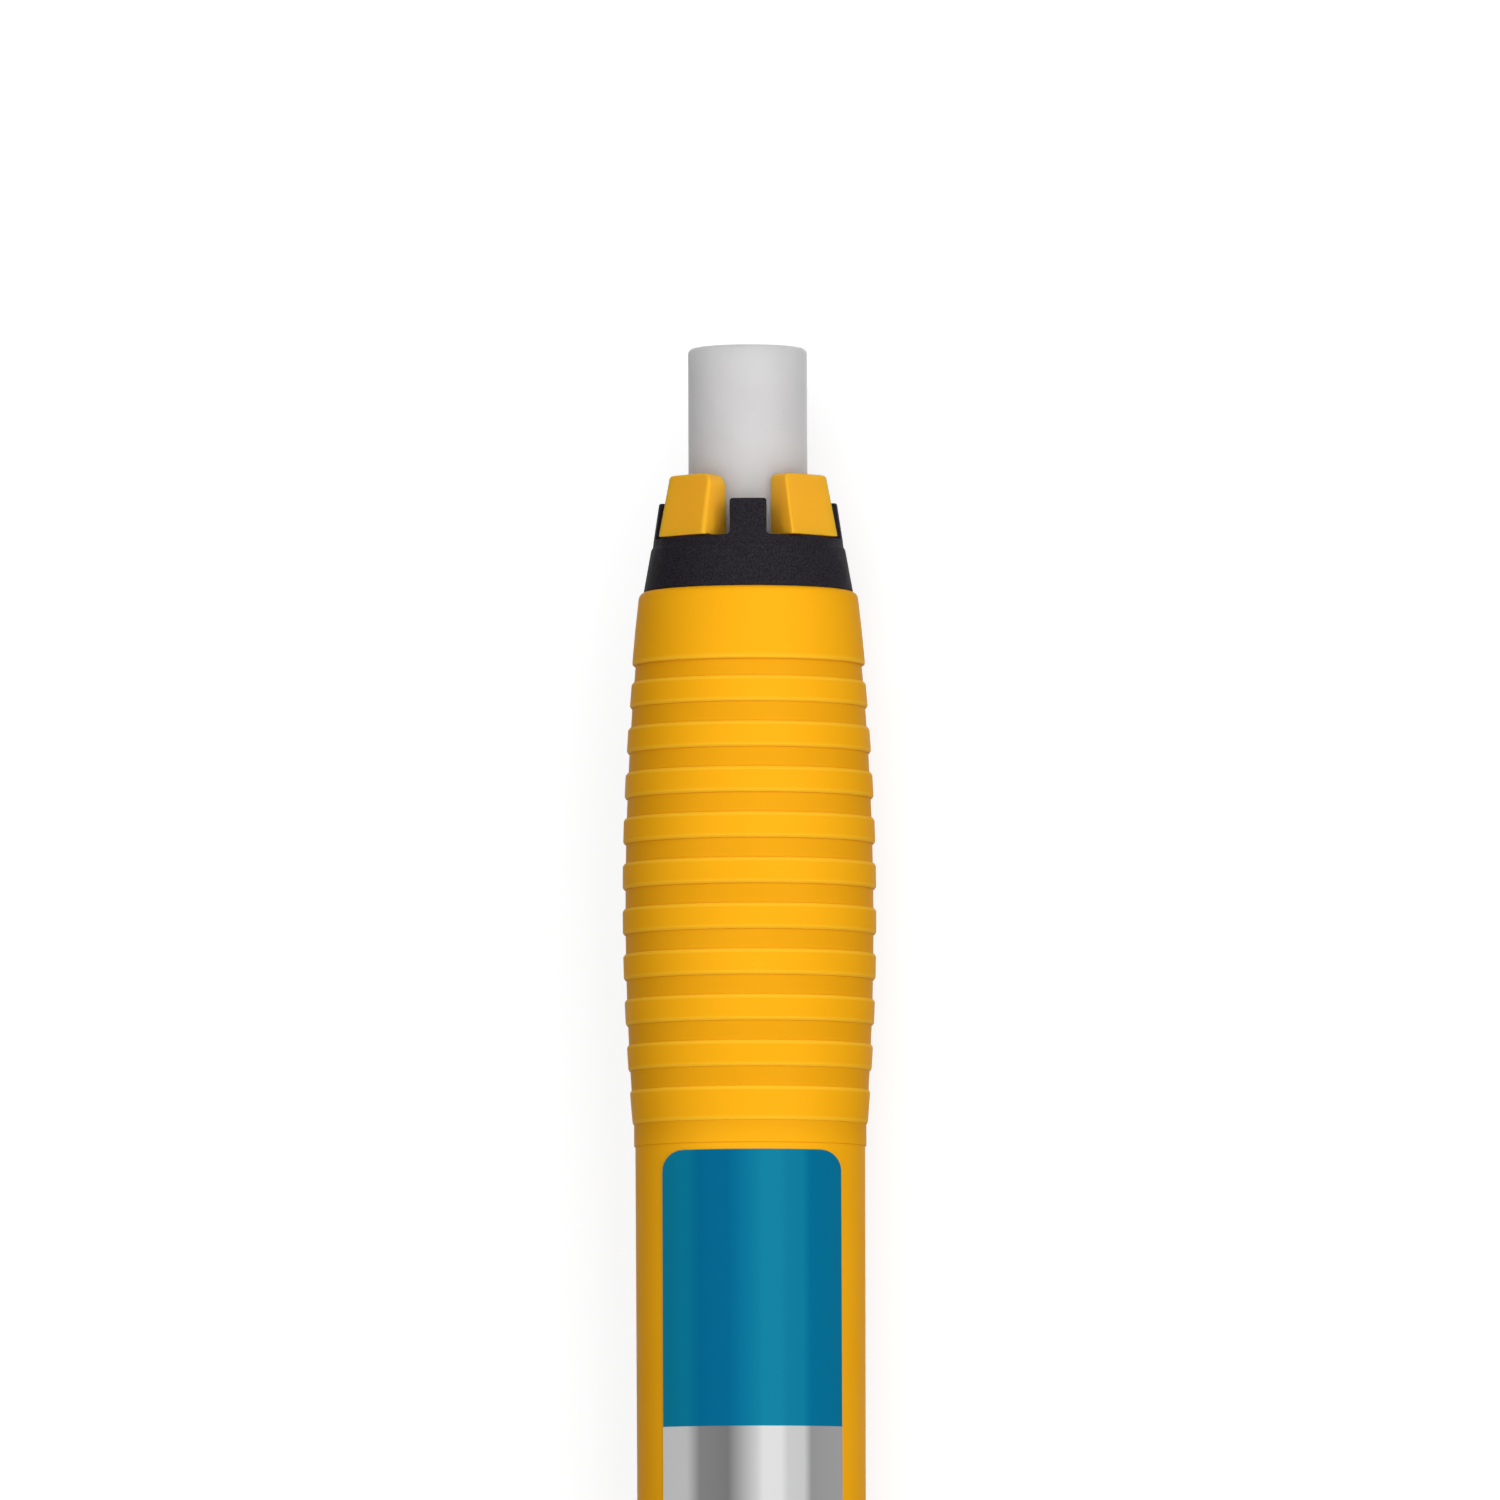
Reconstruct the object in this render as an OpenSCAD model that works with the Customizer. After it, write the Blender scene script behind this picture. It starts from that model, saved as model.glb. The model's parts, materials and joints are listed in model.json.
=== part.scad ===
// Push-button eraser holder: a round eraser stick held by four collet jaws.
// Each piece is drawn upright, its axis on z and the barrel's front rim at z = 0, then laid down.
// Laid down, the eraser points to +X and the holder rests on its grip, its clip collar and its clip.

/* [Eraser stick] */
// Diameter of the eraser stick
eraser_d = 5; // [4:0.1:6]
// Length of a new eraser stick
eraser_len = 65; // [50:1:75]
// Length of eraser that stands out of the jaws
eraser_out = 5.46; // [2:0.02:12]
// Rounding of the eraser's end edges
eraser_edge = 0.2; // [0.05:0.05:0.6]

/* [Collet jaws] */
// Clearance between the jaws and the eraser
jaw_gap = 0.04; // [0.02:0.01:0.1]
// Thickness of the springy jaw arms
arm_t = 0.45; // [0.35:0.05:0.6]
// Length of a jaw arm from its root to its head
arm_len = 16.1; // [14:0.1:18]
// Height of a jaw head
head_h = 2.6; // [1.5:0.1:3.5]
// Overhang of a jaw head outside its arm, at the head's foot
head_over = 1; // [0.8:0.05:1.2]
// How much nearer the axis the head's flat outer face is at its top than at its foot
head_taper = 0.56; // [0.1:0.02:0.7]
// Rounding of the head's outer top edge
head_edge = 0.25; // [0.05:0.05:0.4]
// Angle between a jaw's side faces and its middle plane
jaw_flare = 13; // [5:1:18]
// Angle that each jaw opens when the button is pressed
jaw_open = 2; // [1:0.25:2.25]
// Gap at the root of each arm, where it flexes
root_gap = 0.05; // [0.03:0.01:0.1]

/* [Nose ring] */
// Height of the ring from the barrel's rim to the seat under the jaw heads
ring_h = 2.17; // [1.5:0.01:3]
// Thickness of the ring's wall at its top
ring_wall = 0.52; // [0.4:0.02:0.8]
// Height of the narrower neck under the jaw heads
neck_h = 0.3; // [0.1:0.05:0.6]
// Width of the small ledge below that neck
ledge_w = 0.11; // [0.04:0.01:0.3]
// How much the ring's radius grows from the ledge to the barrel
ring_flare = 0.32; // [0.1:0.02:0.5]
// Depth of the sloping seat that squeezes the jaws shut
seat_chamfer = 0.25; // [0.1:0.05:0.35]
// Width of each finger that stands between two jaws
finger_w = 1.55; // [1.2:0.05:1.7]
// Height of each finger above the seat
finger_h = 1.53; // [0.8:0.01:2]
// How much the finger's radius shrinks towards its top
finger_taper = 0.23; // [0.05:0.01:0.4]
// Rounding of the finger's top corners
finger_edge = 0.12; // [0.04:0.02:0.3]
// Gap on each side of a finger to the jaws
slot_gap = 0.19; // [0.1:0.01:0.25]
// Gap between a finger and the eraser
finger_gap = 0.25; // [0.15:0.01:0.4]
// Length that each finger runs down inside the ring as a key
key_len = 3; // [1:0.5:5]
// Length of the ring's spigot inside the barrel
spigot_len = 6; // [4:0.5:7]
// Wall of the spigot
spigot_t = 0.5; // [0.35:0.05:0.6]

/* [Barrel] */
// Length of the barrel from its front rim to its rear end
barrel_len = 104; // [98:1:112]
// Wall of the smooth barrel at its front
barrel_wall = 0.83; // [0.65:0.01:1.2]
// How much the barrel's radius shrinks from the label's front to the rear
barrel_taper = 0.16; // [0:0.02:0.3]
// Width of the barrel's rim outside the nose ring
rim_lip = 0.18; // [0.12:0.02:0.4]
// Rounding of the front rim
rim_edge = 0.28; // [0.04:0.02:0.3]
// Length of the smooth band in front of the ribs
band_len = 3.1; // [2:0.01:5]
// Height of that band's rear edge over the smooth barrel
band_rise = 0.07; // [0:0.01:0.15]

/* [Ribbed grip] */
// Number of ribs
rib_count = 10; // [6:1:11]
// Distance from one rib to the next
rib_pitch = 1.907; // [1.7:0.001:2.1]
// Width of a rib
rib_w = 1.09; // [0.8:0.01:1.3]
// Width of the last, wider rib
last_rib_w = 1.42; // [1:0.01:2]
// Width of the groove in front of the first rib
first_groove_w = 0.7; // [0.4:0.01:1]
// Width of the flat behind the last rib
last_groove_w = 0.92; // [0.4:0.01:1.4]
// Height of the grip's widest rib over the smooth barrel
grip_rise = 0.505; // [0.3:0.005:0.9]
// How much lower the end ribs are than the widest one
rib_drop = 0.48; // [0.1:0.01:0.6]
// Depth of a groove at the grip's widest place
groove_depth = 0.12; // [0.06:0.01:0.2]
// How much lower the end grooves are than the middle ones
groove_drop = 0.43; // [0.1:0.01:0.5]
// How far the widest grooves lie behind the widest ribs
groove_shift = 0.3; // [0:0.05:1]
// Softening of the rib's edges
rib_edge = 0.05; // [0.02:0.01:0.06]

/* [Refill tube and sleeve] */
// Clearance between the eraser and the tube
tube_gap = 0.15; // [0.08:0.01:0.25]
// Wall of the refill tube
tube_wall = 0.4; // [0.3:0.05:0.6]
// Wall of the collet sleeve
sleeve_wall = 0.5; // [0.35:0.05:0.6]
// Length of the sleeve in front of the tube
sleeve_front = 6; // [3:0.5:8]
// Length of tube held in the sleeve
sleeve_socket = 6; // [3:0.5:8]
// Free space behind the sleeve
sleeve_room = 2.5; // [1:0.5:4]

/* [Return spring] */
// Length of the fitted spring
spring_len = 16; // [13:0.5:24]
// Diameter of the spring wire
wire_d = 0.5; // [0.35:0.05:0.6]
// Number of coils
spring_turns = 8; // [5:1:10]
// Gap from the spring to the tube inside it and to the barrel around it
spring_gap = 0.22; // [0.15:0.01:0.35]
// Thickness of the barrel's inner wall that the spring pushes against
web_t = 1.5; // [0.8:0.1:3]
// Length of the collar on the tube that the spring lifts
collar_len = 2; // [1:0.5:4]

/* [Push button] */
// Travel of the button
press_travel = 4; // [3:0.25:4.5]
// Length of button left outside when it is fully pressed
button_rest = 4; // [2:0.5:8]
// Diameter of the button
button_d = 6.6; // [5.6:0.1:6.8]
// Wall of the hollow button
button_wall = 0.8; // [0.5:0.1:1.2]
// Rounding of the button's end
button_edge = 0.9; // [0.2:0.1:1.5]
// Length of tube held in the button
button_socket = 8; // [4:1:12]
// Thickness of the button's shoulder
shoulder_t = 1.2; // [0.8:0.1:2]
// Gap between the shoulder and the tail bush
stop_gap = 0.3; // [0.1:0.1:0.6]

/* [Tail bush] */
// Length of the bush inside the barrel
bush_len = 6.5; // [4:0.5:9]
// Thickness of the bush's flange
flange_t = 2; // [1:0.1:3]
// Step from the clip collar in to the bush's flange
flange_step = 0.3; // [0.1:0.05:0.8]
// Rounding of the flange's rear edge
flange_edge = 0.5; // [0.1:0.1:0.8]

/* [Clip] */
// Length of the clip's collar
clip_collar_len = 8; // [6.5:0.5:12]
// Wall of the barrel inside the collar
tail_wall = 0.36; // [0.3:0.02:0.45]
// Length of the clip's free arm
clip_len = 37; // [25:1:42]
// Width of the clip
clip_w = 3.5; // [2.5:0.1:4.5]
// Thickness of the clip's arm
clip_t = 1.5; // [0.9:0.1:1.8]
// Space between the arm and the barrel
clip_gap = 2; // [1.5:0.1:3]
// Rounding of the clip's outer edges
clip_edge = 0.3; // [0.1:0.05:0.5]
// Length of the bump that presses on the pocket
bump_len = 2; // [1:0.5:4]
// Gap between the bump and the barrel
bump_gap = 0.08; // [0.05:0.01:0.3]
// Gap at the clip's root, where it flexes
clip_root_gap = 0.08; // [0.06:0.01:0.15]

/* [Label] */
// Bare barrel between the grip and the label
label_margin = 0.3; // [0:0.1:3]
// Length of the label
label_len = 46; // [20:1:60]
// Part of the way round that the label covers, in degrees
label_wrap = 101; // [40:1:150]
// Rounding of the label's corners
label_corner = 0.85; // [0.2:0.05:2]
// Thickness of the label film
label_t = 0.05; // [0.03:0.01:0.12]

/* [Fits] */
// Gap between parts that are pressed together
press_gap = 0.02; // [0.01:0.005:0.04]
// Gap around parts that slide
slide_gap = 0.15; // [0.1:0.01:0.2]
// Gap around the button in its bush
button_gap = 0.1; // [0.06:0.01:0.15]

/* [Hidden] */
$fn = 96;
jaw_count = 4;
first_jaw_angle = 45;
jaw_step = 360 / jaw_count;
arc_steps = 6;
cut = 1;

// Radii, worked out from the eraser outwards
eraser_r = eraser_d / 2;
grip_face_r = eraser_r + jaw_gap;
arm_r = grip_face_r + arm_t;
// Room that the arms need to open at the ring's mouth with the button pressed
jaw_room = (arm_len - press_travel) * tan(jaw_open) + jaw_gap;
ring_bore_r = arm_r + jaw_room;
neck_r = ring_bore_r + ring_wall;
ledge_r = neck_r + ledge_w;
ring_base_r = ledge_r + ring_flare;
rim_r = ring_base_r + rim_lip;
spigot_r = ring_bore_r + spigot_t;
mouth_r = spigot_r + press_gap;
finger_in_r = eraser_r + finger_gap;
tube_in_r = eraser_r + tube_gap;
tube_r = tube_in_r + tube_wall;
sleeve_in_r = tube_in_r;
socket_r = tube_r + press_gap;
sleeve_r = socket_r + sleeve_wall;
chamber_r = sleeve_r + slide_gap;
web_r = tube_r + slide_gap;
coil_r = tube_r + spring_gap + wire_d / 2;
bore_r = coil_r + wire_d / 2 + spring_gap;
smooth_r = bore_r + barrel_wall;
grip_r = smooth_r + grip_rise;
band_r = smooth_r + band_rise;
tail_r = bore_r + tail_wall;
collar_in_r = tail_r + press_gap;
flange_r = grip_r - flange_step;
button_r = button_d / 2;
skirt_r = bore_r - slide_gap;

// Heights along the axis, from the barrel's rim; what lies behind it is negative
seat_z = ring_h;
head_z = seat_z + jaw_gap;
head_top_z = head_z + head_h;
finger_top_z = seat_z + finger_h;
eraser_tip_z = head_top_z + eraser_out;
root_z = head_z - arm_len;
sleeve_z = root_z - root_gap;
tube_front_z = sleeve_z - sleeve_front;
sleeve_back_z = tube_front_z - sleeve_socket;
web_z = sleeve_back_z - sleeve_room;
spring_z = web_z - web_t;
collar_z = spring_z - spring_len;
bush_front_z = bush_len - barrel_len;
shoulder_back_z = bush_front_z + stop_gap;
shoulder_z = shoulder_back_z + shoulder_t;
button_end_z = -barrel_len - flange_t - press_travel - button_rest;
clip_collar_z = clip_collar_len - barrel_len;
clip_root_z = clip_collar_z - 1;
clip_tip_z = clip_root_z + clip_len;

// The grip, in depths behind the rim
first_rib_d = band_len + first_groove_w;
last_rib_d = first_rib_d + (rib_count - 1) * rib_pitch;
last_rib_end_d = last_rib_d + last_rib_w;
grip_end_d = last_rib_end_d + last_groove_w;
grip_mid_d = (band_len + grip_end_d) / 2;
grip_half = (grip_end_d - band_len) / 2;
label_z = -grip_end_d - label_margin;

function rib_r(d) = grip_r - rib_drop * pow((d - grip_mid_d) / grip_half, 2);
function groove_r(d) = grip_r - groove_depth
    - groove_drop * pow((d - grip_mid_d - groove_shift) / grip_half, 2);

// Outside radius of the smooth barrel at height z
function smooth_barrel_r(z) = smooth_r + barrel_taper * (z + grip_end_d) / (barrel_len - grip_end_d);

// Points of an arc about [x, y]
function arc(x, y, r, from, to) =
    [for (i = [0:arc_steps]) let (a = from + (to - from) * i / arc_steps) [x + r * cos(a), y + r * sin(a)]];

// How the holder lies: its clip turned down until the clip's edge meets the desk
clip_out = smooth_r + clip_gap + clip_t;
clip_half_w = clip_w / 2;
edge_out = clip_out - clip_edge;
edge_half_w = clip_half_w - clip_edge;
clip_drop = asin((grip_r - clip_edge) / norm([edge_out, edge_half_w])) - atan2(edge_half_w, edge_out);
clip_side = edge_out * cos(clip_drop) + edge_half_w * sin(clip_drop) + clip_edge;
middle_z = (eraser_tip_z + button_end_z) / 2;

// In the upright drawing the label faces +x and the clip faces +y
module lay_down() {
    translate([-middle_z, (clip_side - grip_r) / 2, grip_r])
        rotate([0, 90, 0])
            rotate([0, 0, 180 + clip_drop])
                children();
}

module turned(points) {
    rotate_extrude()
        polygon(points);
}

// A bar along z over the outline that points in the y-z plane give, as wide as w
module side_cut(points, w) {
    rotate([90, 0, 90])
        translate([0, 0, -w / 2])
            linear_extrude(w)
                polygon(points);
}

// Barrel: the yellow body with its ribbed grip, an inner wall for the spring and a thinner tail
rim_points = concat([[mouth_r, 0]], arc(rim_r - rim_edge, -rim_edge, rim_edge, 90, 0));
band_points = [[band_r, rib_edge - band_len],
               [band_r - rib_edge, -band_len],
               [groove_r(band_len + rib_edge), -band_len - rib_edge]];

function rib_end(k) = first_rib_d + k * rib_pitch + (k == rib_count - 1 ? last_rib_w : rib_w);

function rib_points(d, e) = [[groove_r(d - rib_edge), rib_edge - d],
                             [rib_r(d) - rib_edge, -d],
                             [rib_r(d + rib_edge), -d - rib_edge],
                             [rib_r((d + e) / 2), -(d + e) / 2],
                             [rib_r(e - rib_edge), rib_edge - e],
                             [rib_r(e) - rib_edge, -e],
                             [groove_r(e + rib_edge), -e - rib_edge]];

all_rib_points = [for (k = [0:rib_count - 1]) each rib_points(first_rib_d + k * rib_pitch, rib_end(k))];
rear_points = [[smooth_r + rib_edge, rib_edge - grip_end_d],
               [smooth_r, -grip_end_d],
               [smooth_barrel_r(clip_collar_z), clip_collar_z],
               [tail_r, clip_collar_z],
               [tail_r, -barrel_len],
               [bore_r, -barrel_len]];
bore_points = [[bore_r, spring_z],
               [web_r, spring_z],
               [web_r, web_z],
               [chamber_r, web_z],
               [chamber_r, -spigot_len - press_gap],
               [mouth_r, -spigot_len - press_gap]];

module barrel() {
    color("goldenrod")
        lay_down()
            turned(concat(rim_points, band_points, all_rib_points, rear_points, bore_points));
}

// Nose ring: pressed into the barrel's mouth, with a finger between each two jaws
module ring_body() {
    turned([[ring_bore_r, -spigot_len],
            [spigot_r, -spigot_len],
            [spigot_r, 0],
            [ring_base_r, 0],
            [ledge_r, seat_z - neck_h - ledge_w],
            [ledge_r - ledge_w / 2, seat_z - neck_h],
            [neck_r + ledge_w / 4, seat_z - neck_h + ledge_w / 2],
            [neck_r, seat_z],
            [ring_bore_r + seat_chamfer, seat_z],
            [ring_bore_r, seat_z - seat_chamfer]]);
}

module finger_sleeve() {
    turned([[finger_in_r, seat_z - key_len],
            [ring_bore_r + ring_wall / 2, seat_z - key_len],
            [ring_bore_r + ring_wall / 2, seat_z - neck_h],
            [neck_r, seat_z],
            [neck_r - finger_taper, finger_top_z],
            [finger_in_r, finger_top_z]]);
}

module finger_blade() {
    half = finger_w / 2;
    corner = half - finger_edge;
    rotate([90, 0, 90])
        linear_extrude(neck_r + cut)
            polygon(concat([[-half, seat_z - key_len - cut], [half, seat_z - key_len - cut]],
                           arc(corner, finger_top_z - finger_edge, finger_edge, 0, 90),
                           arc(-corner, finger_top_z - finger_edge, finger_edge, 90, 180)));
}

module nose_ring() {
    color("dimgray")
        lay_down() {
            union() {
                ring_body();
                for (k = [0:jaw_count - 1])
                    intersection() {
                        finger_sleeve();
                        rotate([0, 0, k * jaw_step])
                            finger_blade();
                    }
            }
        }
}

// Jaw: a head outside the ring on a long springy arm, one moulding with the sleeve
slot_half_angle = asin((finger_w / 2 + slot_gap) / grip_face_r);
jaw_half_w = grip_face_r * sin(jaw_step / 2 - slot_half_angle);
jaw_corner_x = grip_face_r * cos(jaw_step / 2 - slot_half_angle);
head_foot_r = arm_r + head_over;
head_top_r = head_foot_r - head_taper;
head_blank_r = head_foot_r + cut;

function jaw_half_w_at(x) = jaw_half_w + (x - jaw_corner_x) * tan(jaw_flare);

// Round arm with a round blank for the head on its end
module jaw_blank() {
    turned([[grip_face_r, root_z],
            [arm_r, root_z],
            [arm_r, head_z - seat_chamfer],
            [arm_r + seat_chamfer, head_z],
            [head_blank_r, head_z],
            [head_blank_r, head_top_z],
            [grip_face_r, head_top_z]]);
}

// Seen along the axis, a jaw is a wedge
module jaw_wedge() {
    translate([0, 0, root_z - cut])
        linear_extrude(arm_len + head_h + 2 * cut)
            polygon([[0, -jaw_half_w_at(0)],
                     [head_blank_r, -jaw_half_w_at(head_blank_r)],
                     [head_blank_r, jaw_half_w_at(head_blank_r)],
                     [0, jaw_half_w_at(0)]]);
}

// Seen from the side, the head's flat outer face leans in towards its top
module jaw_side() {
    rotate([90, 0, 0])
        translate([0, 0, -head_blank_r])
            linear_extrude(2 * head_blank_r)
                polygon(concat([[0, root_z - cut],
                                [head_foot_r, root_z - cut],
                                [head_foot_r, head_z]],
                               arc(head_top_r - head_edge, head_top_z - head_edge, head_edge, 0, 90),
                               [[0, head_top_z]]));
}

module jaw(k) {
    color("orange")
        lay_down()
            rotate([0, 0, first_jaw_angle + k * jaw_step])
                intersection() {
                    rotate([0, 0, 180])
                        jaw_blank();
                    jaw_wedge();
                    jaw_side();
                }
}

// Sleeve that carries the jaws and holds the front of the refill tube
module collet_sleeve() {
    color("orange")
        lay_down()
            turned([[sleeve_in_r, sleeve_z],
                    [sleeve_r, sleeve_z],
                    [sleeve_r, sleeve_back_z],
                    [socket_r, sleeve_back_z],
                    [socket_r, tube_front_z],
                    [sleeve_in_r, tube_front_z]]);
}

// Eraser stick, as sold
module eraser_refill() {
    back_z = eraser_tip_z - eraser_len;
    edge_x = eraser_r - eraser_edge;
    color("gainsboro")
        lay_down()
            turned(concat([[0, back_z]],
                          arc(edge_x, back_z + eraser_edge, eraser_edge, -90, 0),
                          arc(edge_x, eraser_tip_z - eraser_edge, eraser_edge, 0, 90),
                          [[0, eraser_tip_z]]));
}

// Tube that holds the rest of the stick and joins the button to the collet
module refill_tube() {
    color("ivory")
        lay_down()
            turned([[tube_in_r, shoulder_z],
                    [tube_r, shoulder_z],
                    [tube_r, tube_front_z],
                    [tube_in_r, tube_front_z]]);
}

// Collar pressed on the tube, which the spring pushes back
module spring_collar() {
    color("ivory")
        lay_down()
            turned([[tube_r + press_gap, collar_z - collar_len],
                    [bore_r - slide_gap, collar_z - collar_len],
                    [bore_r - slide_gap, collar_z],
                    [tube_r + press_gap, collar_z]]);
}

// Return spring: one unbroken wire that winds evenly from the inner wall to the collar
wire_sides = 6;
rings_per_turn = 12;
wire_rings = spring_turns * rings_per_turn;
coil_rise = spring_len - wire_d - 2 * press_gap;
coil_pitch = coil_rise / spring_turns;

// Middle of the wire, and a point of its skin, at one of its rings
function coil_point(i) = [coil_r * cos(360 * i / rings_per_turn),
                          coil_r * sin(360 * i / rings_per_turn),
                          -coil_pitch * i / rings_per_turn];
function wire_point(i, j) =
    let (a = 360 * i / rings_per_turn, b = 360 * j / wire_sides)
    coil_point(i) + wire_d / 2 * [cos(b) * cos(a), cos(b) * sin(a), sin(b)];

// Least gap between one turn and the next, on the wire's own points
turn_gaps = [for (i = [0:rings_per_turn]) for (n = [rings_per_turn / 2:wire_rings - i])
    norm(coil_point(i) - coil_point(i + n)) - wire_d];

function ring_index(i, j) = i * wire_sides + j % wire_sides;

module return_spring() {
    points = [for (i = [0:wire_rings]) for (j = [0:wire_sides - 1]) wire_point(i, j)];
    sides = [for (i = [0:wire_rings - 1]) for (j = [0:wire_sides - 1])
        each [[ring_index(i, j), ring_index(i, j + 1), ring_index(i + 1, j + 1)],
              [ring_index(i, j), ring_index(i + 1, j + 1), ring_index(i + 1, j)]]];
    first_end = [for (j = [1:wire_sides - 2]) [0, j + 1, j]];
    last_end = [for (j = [1:wire_sides - 2])
        [ring_index(wire_rings, 0), ring_index(wire_rings, j), ring_index(wire_rings, j + 1)]];
    echo(least_gap_between_turns = min(turn_gaps));
    color("silver")
        lay_down()
            translate([0, 0, spring_z - wire_d / 2 - press_gap])
                polyhedron(points, concat(sides, first_end, last_end));
}

// Push button: a hollow cap behind, a wide skirt inside that holds the tube
module push_button() {
    hollow_r = button_r - button_wall;
    color("dimgray")
        lay_down()
            turned(concat([[0, button_end_z + button_wall],
                           [0, button_end_z]],
                          arc(button_r - button_edge, button_end_z + button_edge, button_edge, -90, 0),
                          [[button_r, shoulder_back_z],
                           [skirt_r, shoulder_back_z],
                           [skirt_r, shoulder_z + button_socket],
                           [socket_r, shoulder_z + button_socket],
                           [socket_r, shoulder_z],
                           [hollow_r, shoulder_z],
                           [hollow_r, button_end_z + button_wall]]));
}

// Tail bush: guides the button and keeps its skirt in the barrel
module tail_bush() {
    hole_r = button_r + button_gap;
    flange_z = -barrel_len - flange_t;
    color("dimgray")
        lay_down()
            turned(concat([[hole_r, bush_front_z],
                           [hole_r, flange_z]],
                          arc(flange_r - flange_edge, flange_z + flange_edge, flange_edge, -90, 0),
                          [[flange_r, -barrel_len],
                           [bore_r - press_gap, -barrel_len],
                           [bore_r - press_gap, bush_front_z]]));
}

// Outer shape of the whole clip, before its side outline is cut
module clip_bar(from, to) {
    straight = clip_half_w - clip_edge;
    translate([0, 0, from])
        linear_extrude(to - from)
            polygon(concat([[-clip_half_w, 0], [clip_half_w, 0]],
                           arc(straight, clip_out - clip_edge, clip_edge, 0, 90),
                           arc(-straight, clip_out - clip_edge, clip_edge, 90, 180)));
}

clip_in = clip_out - clip_t;

// Clip collar: slipped over the barrel's tail, with the post that the arm grows from
module clip_collar() {
    post_back_z = -barrel_len + flange_edge;
    post_slope = clip_out - grip_r;
    color("dimgray")
        lay_down()
            union() {
                turned([[collar_in_r, -barrel_len],
                        [grip_r, -barrel_len],
                        [grip_r, clip_collar_z - rim_edge],
                        [grip_r - rim_edge, clip_collar_z],
                        [collar_in_r, clip_collar_z]]);
                intersection() {
                    clip_bar(-barrel_len, clip_collar_z);
                    side_cut([[(collar_in_r + grip_r) / 2, post_back_z],
                              [grip_r, post_back_z],
                              [clip_out, post_back_z + post_slope / 2],
                              [clip_out, clip_root_z],
                              [clip_in, clip_root_z],
                              [grip_r, clip_collar_z - rim_edge],
                              [(collar_in_r + grip_r) / 2, clip_collar_z - rim_edge]], clip_w + cut);
                }
            }
}

// Clip arm: springs out at its root, with a bump near its tip and a lifted lead-in
module clip_arm() {
    back_z = clip_root_z + clip_root_gap;
    bump_z = clip_tip_z - 2 * clip_t;
    bump_y = smooth_barrel_r(bump_z) + bump_gap;
    color("dimgray")
        lay_down()
            intersection() {
                clip_bar(back_z, clip_tip_z);
                side_cut([[clip_out, back_z],
                          [clip_out, clip_tip_z - clip_t],
                          [clip_out - clip_t / 2, clip_tip_z],
                          [clip_in - clip_t / 2, clip_tip_z],
                          [bump_y, bump_z],
                          [bump_y, bump_z - bump_len],
                          [clip_in, bump_z - bump_len - clip_in + bump_y],
                          [clip_in, back_z]], clip_w + cut);
            }
}

// Label: a thin film on the barrel's front face
label_half_w = smooth_r * sin(label_wrap / 2);

module label_outline() {
    long = label_len - 2 * label_corner;
    wide = 2 * (label_half_w - label_corner);
    union() {
        translate([-label_half_w, label_corner])
            square([2 * label_half_w, long]);
        translate([label_corner - label_half_w, 0])
            square([wide, label_len]);
        for (x = [-wide / 2, wide / 2])
            for (y = [label_corner, label_len - label_corner])
                translate([x, y])
                    circle(label_corner);
    }
}

module label() {
    front_r = smooth_barrel_r(label_z) + press_gap;
    back_r = smooth_barrel_r(label_z - label_len) + press_gap;
    color("teal")
        lay_down()
            intersection() {
                turned([[back_r, label_z - label_len],
                        [back_r + label_t, label_z - label_len],
                        [front_r + label_t, label_z],
                        [front_r, label_z]]);
                translate([0, 0, label_z - label_len])
                    rotate([90, 0, 90])
                        linear_extrude(smooth_r + cut)
                            label_outline();
            }
}

barrel();
nose_ring();
collet_sleeve();
jaw(0);  // collet_jaw_1
jaw(1);  // collet_jaw_2
jaw(2);  // collet_jaw_3
jaw(3);  // collet_jaw_4
eraser_refill();
refill_tube();
spring_collar();
return_spring();
push_button();
tail_bush();
clip_collar();
clip_arm();
label();
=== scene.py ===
# Looks of a push-button eraser holder. The pieces that show are modelled again here, finer than
# their construction solids, and the pieces inside keep their solids and get their materials.
import json
import math

import bmesh
import bpy
from mathutils import Matrix, Vector


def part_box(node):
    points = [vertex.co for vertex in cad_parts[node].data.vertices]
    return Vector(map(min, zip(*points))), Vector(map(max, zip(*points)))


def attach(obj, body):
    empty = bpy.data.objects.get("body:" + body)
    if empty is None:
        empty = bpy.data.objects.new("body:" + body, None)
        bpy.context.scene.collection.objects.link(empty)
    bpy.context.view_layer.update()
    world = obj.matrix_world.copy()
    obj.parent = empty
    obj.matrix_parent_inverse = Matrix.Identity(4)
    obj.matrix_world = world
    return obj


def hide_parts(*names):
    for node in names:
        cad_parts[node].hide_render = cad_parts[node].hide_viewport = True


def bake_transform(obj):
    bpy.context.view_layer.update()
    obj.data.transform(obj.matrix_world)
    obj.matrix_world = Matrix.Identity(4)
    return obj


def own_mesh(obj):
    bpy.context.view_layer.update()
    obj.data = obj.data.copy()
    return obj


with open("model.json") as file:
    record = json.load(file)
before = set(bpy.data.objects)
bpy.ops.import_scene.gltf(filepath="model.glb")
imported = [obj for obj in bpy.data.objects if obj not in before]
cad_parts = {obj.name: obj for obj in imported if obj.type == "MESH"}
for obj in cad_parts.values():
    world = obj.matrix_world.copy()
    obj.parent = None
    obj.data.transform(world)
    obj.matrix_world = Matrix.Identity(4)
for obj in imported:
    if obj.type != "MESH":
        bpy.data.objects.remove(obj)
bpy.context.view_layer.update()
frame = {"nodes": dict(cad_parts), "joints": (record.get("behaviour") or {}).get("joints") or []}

# Lengths below are in millimetres unless a comment says otherwise
MM = 0.001

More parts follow.
